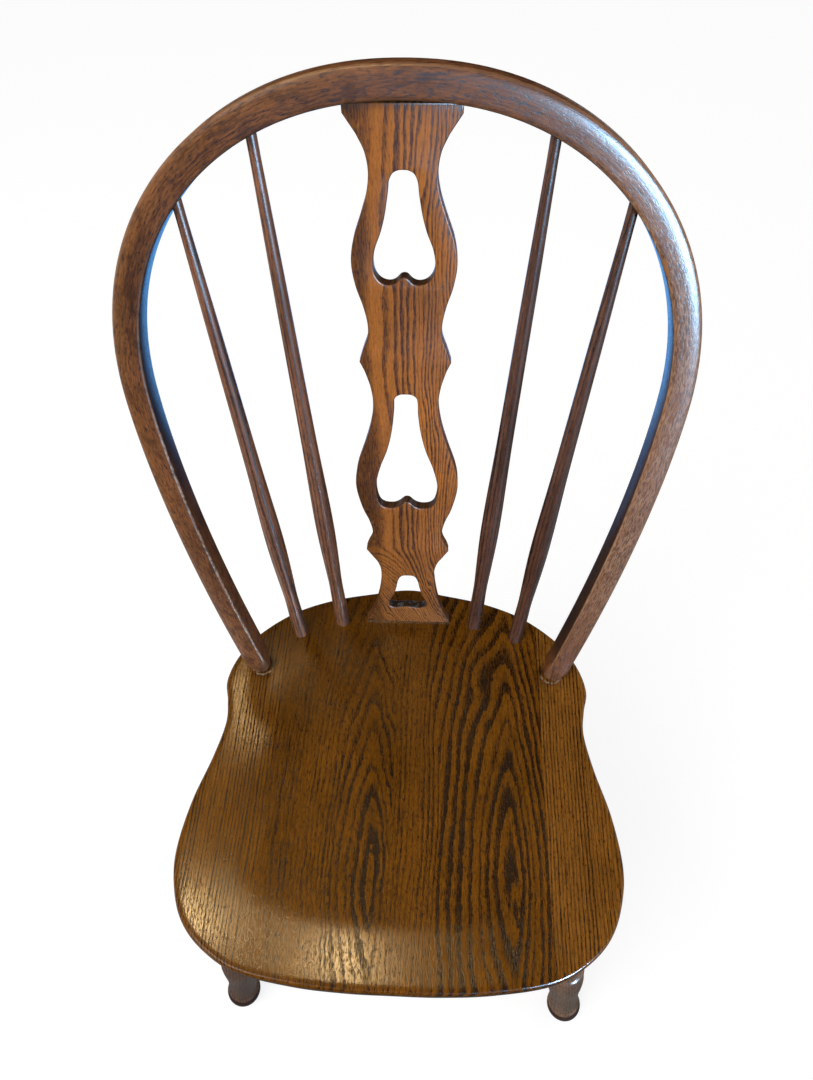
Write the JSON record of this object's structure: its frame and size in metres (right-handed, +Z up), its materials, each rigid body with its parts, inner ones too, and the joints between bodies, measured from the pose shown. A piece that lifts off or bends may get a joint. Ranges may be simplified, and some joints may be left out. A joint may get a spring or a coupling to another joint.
{
  "type": "bow-back spindle chair",
  "caption": "Wooden kitchen chair with a bent bow back, pierced splat and turned spindles over a shaped, dished seat on splayed turned legs joined by an H of stretchers.",
  "frame": {"origin": "on the floor, at the middle of the chair's bounding box", "axes": "+Z up; -Y towards the front of the seat, +Y towards the back; +X to the right as seen from the front"},
  "size_m": [0.4718, 0.4732, 1.0086],
  "materials": {
    "oak_seat": "satin lacquered stained oak, golden brown with dark grain",
    "oak_bow": "satin lacquered stained oak, reddish brown",
    "oak_splat": "satin lacquered stained oak, warm orange brown with dark bands",
    "oak_dark": "satin lacquered stained oak, dark purple brown"
  },
  "bodies": {
    "root": {"seat_board_1": "oak_seat", "seat_board_2": "oak_seat", "seat_board_3": "oak_seat", "seat_board_4": "oak_seat", "bow": "oak_bow", "splat": "oak_splat", "spindle_inner_left": "oak_dark", "spindle_inner_right": "oak_dark", "spindle_outer_left": "oak_dark", "spindle_outer_right": "oak_dark", "leg_front_left": "oak_dark", "leg_front_right": "oak_dark", "leg_rear_left": "oak_dark", "leg_rear_right": "oak_dark", "stretcher_left": "oak_dark", "stretcher_right": "oak_dark", "stretcher_cross": "oak_dark"}
  },
  "joints": []
}
